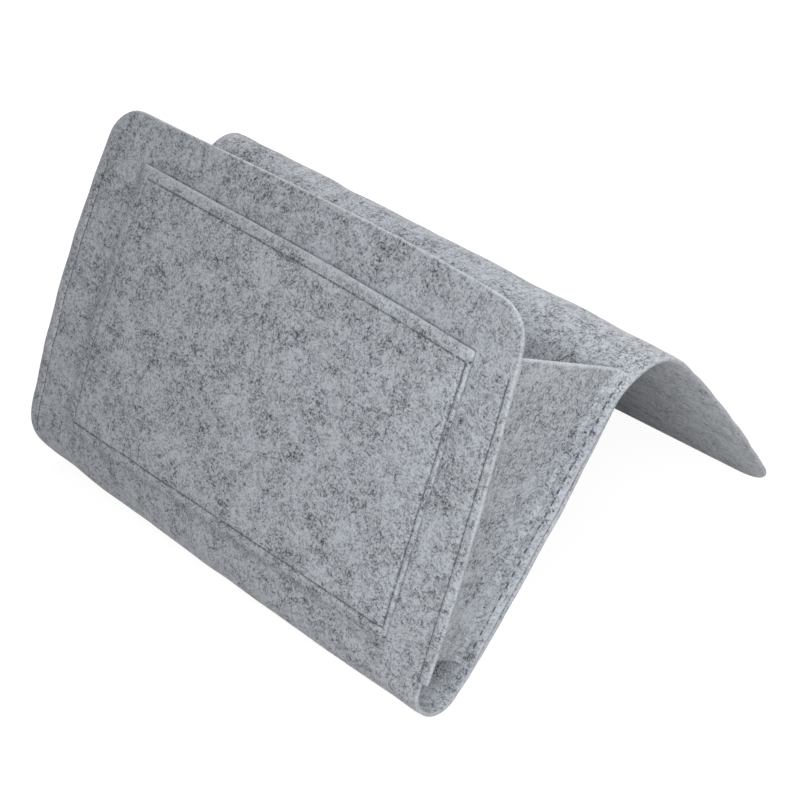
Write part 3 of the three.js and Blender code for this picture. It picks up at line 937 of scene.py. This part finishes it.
def gusset_piece(name, side):
    """A gusset: its middle surface with both creases rounded by a curve of the second degree.

    Its rows stand closer at the foot and the top, halfway between even steps and a cosine's. The foot of
    the back allowance thins out over its lowest tenth, where it meets the back. Returns the piece, its
    flat area, its greatest width across and its height.
    """
    edge = settings().felt.edge_round
    tall = GUSSET_FRONT[1] - GUSSET_FRONT[0]
    even = np.linspace(0, 1, GUSSET_ROWS)
    turn = 0.5 - 0.5 * np.cos(np.pi * even)
    rise = ((edge + (tall - 2 * edge) * (0.5 * turn + 0.5 * even)) / tall)[:, None]
    allowance = abs(GUSSET_EDGE[side] - GUSSET_CREASE[side])
    back_allowance = BACK_ALLOWANCE[side]
    front_fold = 1 - FRONT_CREASE / allowance
    back_fold = 1 - BACK_CREASE / back_allowance
    front_edge = np.linspace(edge / allowance, front_fold, FRONT_COLUMNS)
    back_edge = 3 - np.linspace(back_fold, edge / back_allowance, BACK_COLUMNS)
    bend = np.linspace(0, 1, BEND_COLUMNS + 2)[1:-1]
    web = np.linspace(0, 1, WEB_COLUMNS)

    def crease(start, corner, stop):
        """Points of the curve from start to stop that its corner pulls."""
        t = bend[None, :, None]
        return start * (1 - t) ** 2 + 2 * corner * t * (1 - t) + stop * t**2

    def at(section):
        """Points of the unrounded middle surface at a section."""
        return gusset_middle(side, section + 0 * rise, rise)

    width = np.linalg.norm(at(1.0) - at(2.0), axis=-1)
    web_low, web_high = 1 + FRONT_CREASE / width, 2 - BACK_CREASE / width
    front_bend = crease(at(front_fold), at(1.0), at(web_low))
    back_bend = crease(at(web_high), at(2.0), at(2 + BACK_CREASE / back_allowance))
    middle = np.concatenate((
        at(front_edge[None, :]), front_bend, at(web_low + (web_high - web_low) * web), back_bend,
        at(back_edge[None, :])), axis=1)
    outward = unit(np.cross(np.gradient(middle, axis=1), np.gradient(middle, axis=0)))
    if outward[..., 0].mean() * side < 0:
        outward = -outward
    past_front = middle.shape[1] - FRONT_COLUMNS
    to_back = middle.shape[1] - BACK_COLUMNS
    front_out = np.pad((1 - front_edge) * allowance, (0, past_front))[:, None]
    back_out = np.pad((back_edge - 2) * back_allowance, (to_back, 0))[:, None]
    flat = middle[..., 1:] + front_out * FRONT_UNFOLD + back_out * BACK_UNFOLD
    laid = np.pad(bend, (to_back - BEND_COLUMNS, BACK_COLUMNS), constant_values=(0, 1))
    worn_tail_and_painted_shade = TAIL_THIN * FELT * laid * (1 - ease(rise / TAIL_RISE))
    inset = np.pad((3 - back_edge) * back_allowance, (to_back, 0), constant_values=back_allowance)
    seam_inset = BACK_INNER + back_allowance - abs(BACK_SEAM[side])
    thin = np.maximum(worn_tail_and_painted_shade, ALLOWANCE_PRESS * (1 - ease(inset / seam_inset)))
    # Painted shade along the back seam on the allowance, easing in above the foot.
    sewn = GUSSET_SEAM_PAINTED_SHADE * painted_seam_line(inset - seam_inset, 1.0) * ease(rise / GUSSET_SEAM_RISE)
    piece = felt_piece(name, slab(middle, outward, flat, (-thin, 0.0), sewn))
    run = np.linalg.norm(np.diff(middle, axis=1), axis=-1)
    wide = float(np.cumsum(run, axis=1).max())
    area = float((run.mean(1)[:, None] * run.shape[1] * np.gradient(tall * rise, axis=0)).sum())
    return piece, area, wide, tall


def stitch_piece(name, at, length, lift, way, kind):
    """A row of stitches along a seam.

    at gives x and distance along the sheet for a distance along the seam, and kind is the share of the
    pitch in which thread shows, its thickness, its unevenness and its pitch. Each stitch is a six-sided
    tube in the sheet's own flat coordinates: its centre line dips into the felt at both ends with the
    fourth power of its share, its radius narrows there, some stitches lie deeper, and the sheet's fold
    carries them into place.
    """
    look = settings().thread
    shown, bold, uneven, apart = kind
    radius = look.radius * bold
    count = max(1, int(length / (look.pitch * apart)))
    pitch = length / count
    draw = np.random.default_rng(len(name) * 7 + 3)
    centre = (np.arange(count) + 0.5) * pitch + draw.normal(0, STITCH_STRAY, count)
    sway = draw.normal(0, STITCH_SWAY, count)[:, None, None]
    depth = np.abs(draw.normal(0, uneven, count))[:, None, None]
    angle = np.linspace(0, 2 * np.pi, STITCH_SIDES, endpoint=False)
    t = np.linspace(-1, 1, STITCH_RINGS)[None, :, None]
    thick = radius * np.sqrt(np.clip(1 + STITCH_TIP - t**6, STITCH_TIP, 1))
    sideways = thick * np.cos(angle) + sway * t
    height = radius * (STITCH_RISE - depth - STITCH_DIP * t**4) + STITCH_FLAT * thick * np.sin(angle)
    down = centre[:, None, None] + 0.5 * shown * pitch * t + 0 * angle
    sideways, height = sideways + 0 * down, height + 0 * down
    x, along, side_x, side_along = at(down)
    points = felt_point(x + side_x * sideways, along + side_along * sideways,
                        lift(x, along) + way * height)
    total = points.reshape(-1, 3)
    index = np.arange(len(total)).reshape(count, STITCH_RINGS, STITCH_SIDES)
    turned = np.roll(index, -1, 2)
    wall = np.stack((index[:, :-1], turned[:, :-1], turned[:, 1:], index[:, 1:]), -1)
    wall = wall.reshape(-1, 4)
    spoke = (points - points.mean(2, keepdims=True))[:, :-1].reshape(-1, 3)
    wall = facing(total, wall, spoke)
    start, stop = index[:, 0], index[:, -1]
    if wall[0, 0] == index[0, 0, 0]:
        start = start[:, ::-1]
    else:
        stop = stop[:, ::-1]
    faces = wall.tolist() + start.tolist() + stop.tolist()
    places = np.stack((down, sideways, height), -1).reshape(-1, 3)
    piece = new_piece(name, total, faces, thread_material(), places)
    return piece


class CADDY_OT_long_sheet(Operator):
    """Folds the long sheet: front, bottom, back, ridge and tuck flap"""

    bl_idname = "felt_caddy.long_sheet"
    bl_label = "Long sheet"

    def execute(self, context):
        """Makes the pocket half and the flap half, which meet on the flat of the back."""
        long = SHEET_PARTING + FRONT_LENGTH
        foot = SHEET_PARTING + MARGIN_FOOT
        low, high = foot - NOTCH_GAP / 2, foot + NOTCH_GAP / 2
        pocket = sheet_piece("pocket_sheet", (SHEET_PARTING, -FRONT_LENGTH), FRONT_CORNER,
                             ((0.0, low, FELT_STEP), (low, high, high - low),
                              (high, long - FRONT_CORNER, FELT_STEP)))
        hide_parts("front_panel", "bottom_fold", "back_panel")
        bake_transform(pocket)
        corners = (2 - math.pi / 2) * FRONT_CORNER**2
        long = BACK_LENGTH - SHEET_PARTING
        low, high = RIDGE_ROWS
        flap = sheet_piece("flap_sheet", (SHEET_PARTING, BACK_LENGTH), FLAP_CORNER,
                           ((0.0, low, FELT_STEP), (low, high, RIDGE_STEP),
                            (high, long - FLAP_CORNER, FELT_STEP)))
        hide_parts("top_fold", "tuck_flap")
        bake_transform(flap)
        corners = (2 - math.pi / 2) * FLAP_CORNER**2
        corners += (HALF_WIDTH - FLAP_RIGHT) * (BACK_LENGTH - FLAP_TAPER) / 2
        return {"FINISHED"}


class CADDY_OT_patch_pocket(Operator):
    """Lays the patch pocket on the front"""

    bl_idname = "felt_caddy.patch_pocket"
    bl_label = "Patch pocket"

    def execute(self, context):
        """Makes the patch as a slab over the front, pulled in along its seam and hem."""
        edge = settings().felt.edge_round
        across = steps(edge - PATCH_WIDTH / 2, PATCH_WIDTH / 2 - edge, FELT_STEP, PATCH_SEAM)
        up = steps(edge - PATCH_HEIGHT, -edge, FELT_STEP, (PATCH_FOOT_SEAM, -HEM_DROP))
        across, up = np.meshgrid(across, up)
        x, along = patch_place(across, up)
        lift = patch_lift(across, up)
        middle = felt_point(x, along, lift)
        outward = unit(felt_point(x, along, lift + PROBE) - middle)
        seams = patch_seams(across, up)
        pull = np.min([groove(*seam) for seam in seams], 0)
        # Painted shade along the patch's seams and hem.
        line = np.max([painted_seam_line(*seam) for seam in seams], 0)
        # Painted shade along the left and foot edge rows of the patch's outer face.
        worn_tail_and_painted_shade = np.where(across == across.min(), PATCH_LEFT_PAINTED_SHADE, 0.0)
        worn_tail_and_painted_shade = np.where(up == up.min(), PATCH_FOOT_PAINTED_SHADE, worn_tail_and_painted_shade)
        frayed = inside(up, -FRAYED_TOP, 0.0)
        made = slab(middle, outward, np.stack((across, up), -1),
                    (pull - patch_press(across, up), -pressed(-up)), np.maximum(line, worn_tail_and_painted_shade), frayed)
        patch = felt_piece("patch_pocket_felt", made)
        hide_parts("patch_pocket")
        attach(patch, "front")
        return {"FINISHED"}


class CADDY_OT_gussets(Operator):
    """Sets the two gussets between front and back"""

    bl_idname = "felt_caddy.gussets"
    bl_label = "Gussets"

    def execute(self, context):
        """Makes the left and the right gusset, shaped over the pocket's fold."""
        for side, word in SIDES.items():
            gusset, area, wide, tall = gusset_piece(f"{word}_gusset_felt", side)
            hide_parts(f"{word}_gusset")
            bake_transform(gusset)
        return {"FINISHED"}


class CADDY_OT_seams(Operator):
    """Sews the seams, with the needle's thread on the shown side and the bobbin's on the other"""

    bl_idname = "felt_caddy.seams"
    bl_label = "Seams"

    def sew(self, name, body, at, length, needle, bobbin, way, kind):
        """Both rows of stitches of a seam, on the lifts of its two faces."""
        for thread, lift, side in (("needle", needle, way), ("bobbin", bobbin, -way)):
            piece = stitch_piece(f"{name}_{thread}_stitches", at, length, lift, side, kind)
            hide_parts(f"{name}_{thread}_thread")
            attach(piece, body)

    def execute(self, context):
        """Sews round the patch, along its hem, and up the two sides of front and back."""
        deep = settings().thread.groove
        left, right = PATCH_SEAM
        wide = right - left
        tall = -PATCH_FOOT_SEAM - HEM_DROP
        turned = (math.cos(PATCH_TURN), math.sin(PATCH_TURN))

        def round_patch(down):
            """Down the left side, along the foot and up the right side of the patch."""
            first, second = tall, tall + wide
            across = left + np.clip(down - first, 0, wide)
            up = PATCH_FOOT_SEAM + np.maximum(0, np.maximum(first - down, down - second))
            level = (down >= first) & (down < second)
            x, along = patch_place(across, up)
            side_x = np.where(level, turned[1], turned[0])
            side_along = np.where(level, -turned[0], turned[1])
            return x, along, side_x, side_along

        def along_hem(down):
            """Across the patch, under its open top edge."""
            x, along = patch_place(left + down, np.full_like(down, -HEM_DROP))
            return x, along, turned[1], -turned[0]

        def patch_face(sign, depth):
            """Lift of one face of the patch over a place on the front."""
            def lift(x, along):
                """The patch's middle lift there, half the felt to the face, less pressing and groove."""
                beside = x - PATCH_SIDE_SHIFT
                high = -along - FRONT_LENGTH + PATCH_TOP_DROP
                across = beside * turned[0] - high * turned[1]
                up = beside * turned[1] + high * turned[0]
                sunk = patch_press(across, up) if sign > 0 else 0.0
                return patch_lift(across, up) + sign * (HALF_FELT - depth - sunk)
            return lift

        def level_face(value):
            """The same lift everywhere."""
            return lambda x, along: np.full(np.shape(x), value)

        self.sew("patch_seam", "front", round_patch, wide + 2 * tall, patch_face(1, deep),
                 level_face(-HALF_FELT), 1, CLOSE_STITCH)
        self.sew("patch_hem", "front", along_hem, wide, patch_face(1, deep), patch_face(-1, 0.0), 1,
                 CLOSE_STITCH)
        allowance = GUSSET_LIFT - HALF_FELT
        foot = GUSSET_BACK[0] + SEAM_END_MARGIN
        for side, word in SIDES.items():
            def up_front(down):
                """Up the front, beside its side edge."""
                along = -(FRONT_SEAM_SPAN[0] + down)
                return front_seam(side, along) + 0 * down, along, 1.0, 0.0

            def up_back(down):
                """Up the back, beside its side edge."""
                return np.full_like(down, BACK_SEAM[side]), foot + down, 1.0, 0.0

            self.sew(f"front_{word}_seam", "front", up_front,
                     FRONT_SEAM_SPAN[1] - FRONT_SEAM_SPAN[0],
                     level_face(HALF_FELT - deep), level_face(allowance), 1, CLOSE_STITCH)
            self.sew(f"back_{word}_seam", "back", up_back,
                     GUSSET_BACK[1] - GUSSET_BACK[0] - 2 * SEAM_END_MARGIN,
                     level_face(allowance), level_face(HALF_FELT - deep), -1, OPEN_STITCH)
        return {"FINISHED"}


class CADDY_OT_stage(Operator):
    """Sets the camera, the lamps, the sky and the floor"""

    bl_idname = "felt_caddy.stage"
    bl_label = "Stage"

    def lamp(self, name, power, size, place):
        """A square lamp that shines from its place towards the lamps' aim."""
        data = bpy.data.lights.new(name, "AREA")
        data.energy = power
        data.size = size
        lamp = bpy.data.objects.new(name, data)
        back = unit(np.subtract(place, LAMP_AIM))
        lamp.location = place
        lamp.rotation_euler = (math.acos(back[2]), 0.0, math.atan2(back[0], -back[1]))
        bpy.context.scene.collection.objects.link(lamp)

    def execute(self, context):
        """Makes a white stage whose floor keeps the object's shadow."""
        look = settings().stage
        scene = bpy.context.scene
        scene.view_settings.view_transform = "Standard"
        data = bpy.data.cameras.new("caddy_camera")
        data.lens = CAMERA_LENS
        data.sensor_width = CAMERA_SENSOR
        data.clip_start = CAMERA_CLIP
        camera = bpy.data.objects.new("caddy_camera", data)
        camera.location = CAMERA_PLACE
        camera.rotation_euler = (math.pi / 2 - CAMERA_ELEVATION, 0.0, CAMERA_AZIMUTH)
        scene.collection.objects.link(camera)
        scene.camera = camera

        for name, (size, place) in LAMPS.items():
            self.lamp(f"{name}_lamp", getattr(look, name), size, place)

        scene.world = bpy.data.worlds.new("caddy_sky")
        tree = bare_tree(scene.world)
        strength = put(tree, "ShaderNodeMix", {"Factor": self.seen(tree), "A": look.sky, "B": 1.0},
                       data_type="FLOAT").outputs[0]
        sky = put(tree, "ShaderNodeBackground", {"Color": (1, 1, 1, 1), "Strength": strength})
        put(tree, "ShaderNodeOutputWorld", {"Surface": sky.outputs[0]})

        mesh = bpy.data.meshes.new("stage_floor")
        corners = [(-1, -1), (1, -1), (1, 1), (-1, 1)]
        mesh.from_pydata([(FLOOR_REACH * x, FLOOR_REACH * y, 0) for x, y in corners], [], [(0, 1, 2, 3)])
        material = bpy.data.materials.new("pale_floor")
        tree = bare_tree(material)
        grey = (FLOOR_FAINT, FLOOR_FAINT, FLOOR_FAINT, 1.0)
        lit = put(tree, "ShaderNodeBsdfDiffuse", {"Color": (*look.floor, 1.0)})
        faint = put(tree, "ShaderNodeBsdfDiffuse", {"Color": grey})
        white = put(tree, "ShaderNodeEmission", {"Color": (1, 1, 1, 1), "Strength": FLOOR_GLOW})
        both = put(tree, "ShaderNodeAddShader", {0: faint.outputs[0], 1: white.outputs[0]})
        shown = put(tree, "ShaderNodeMixShader", {
            0: self.seen(tree), 1: lit.outputs[0], 2: both.outputs[0]})
        put(tree, "ShaderNodeOutputMaterial", {"Surface": shown.outputs[0]})
        mesh.materials.append(material)
        floor = bpy.data.objects.new("stage_floor", mesh)
        scene.collection.objects.link(floor)
        return {"FINISHED"}

    def seen(self, tree):
        """1 for rays from the camera, from gloss and through glass, and 0 for the light itself."""
        ray = put(tree, "ShaderNodeLightPath").outputs
        direct = calc(tree, "MAXIMUM", ray["Is Camera Ray"], ray["Is Glossy Ray"])
        return calc(tree, "MAXIMUM", direct, ray["Is Transmission Ray"])


class CADDY_PT_sidebar(Panel):
    """Lists the caddy's steps and settings"""

    bl_idname = "CADDY_PT_sidebar"
    bl_label = "Felt Caddy"
    bl_space_type = "VIEW_3D"
    bl_region_type = "UI"
    bl_category = "Caddy"

    def draw(self, context):
        """One button a step, then the settings."""
        for operator in OPERATORS:
            self.layout.operator(operator.bl_idname)
        for group in (settings().felt, settings().thread, settings().stage):
            box = self.layout.box()
            for key in group.bl_rna.properties.keys():
                if key not in {"rna_type", "name"}:
                    box.prop(group, key)


OPERATORS = (
    CADDY_OT_stage, CADDY_OT_long_sheet, CADDY_OT_patch_pocket, CADDY_OT_gussets, CADDY_OT_seams)
CLASSES = (CaddyFelt, CaddyThread, CaddyStage, CaddySettings, *OPERATORS, CADDY_PT_sidebar)


def register():
    """Registers the classes and puts the settings on the scene."""
    for each in CLASSES:
        bpy.utils.register_class(each)
    bpy.types.Scene.felt_caddy = PointerProperty(type=CaddySettings)


def unregister():
    """Takes the settings and the classes away again."""
    del bpy.types.Scene.felt_caddy
    for each in reversed(CLASSES):
        bpy.utils.unregister_class(each)


def main():
    """Builds the caddy."""
    register()
    bpy.ops.felt_caddy.stage()
    bpy.ops.felt_caddy.long_sheet()
    bpy.ops.felt_caddy.patch_pocket()
    bpy.ops.felt_caddy.gussets()
    bpy.ops.felt_caddy.seams()


if __name__ == "__main__":
    main()
